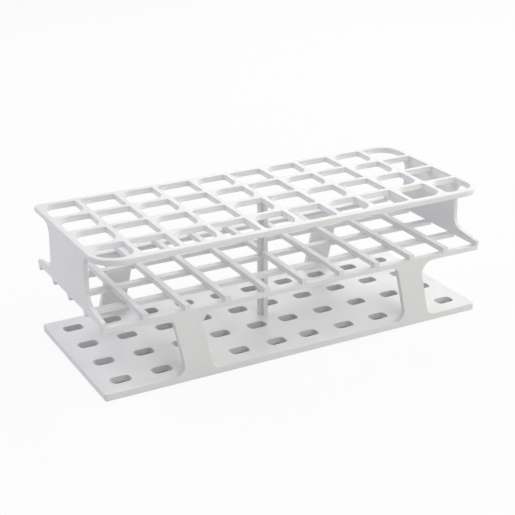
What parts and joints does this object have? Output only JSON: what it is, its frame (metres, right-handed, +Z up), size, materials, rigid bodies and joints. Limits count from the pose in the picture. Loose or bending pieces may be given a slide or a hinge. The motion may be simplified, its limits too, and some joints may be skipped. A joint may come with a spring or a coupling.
{
  "type": "tube rack",
  "caption": "White moulded plastic rack for test tubes: slotted base, open middle grid and top grid, joined by end walls, leaning legs and a centre post.",
  "frame": {"origin": "middle of the underside of the base plate", "axes": "+X along the long rows of places, +Y from the front long side to the back one, +Z up"},
  "size_m": [0.2908, 0.1192, 0.0941],
  "materials": {
    "rack_plastic": "satin"
  },
  "bodies": {
    "root": {"rack": "rack_plastic"}
  },
  "joints": []
}
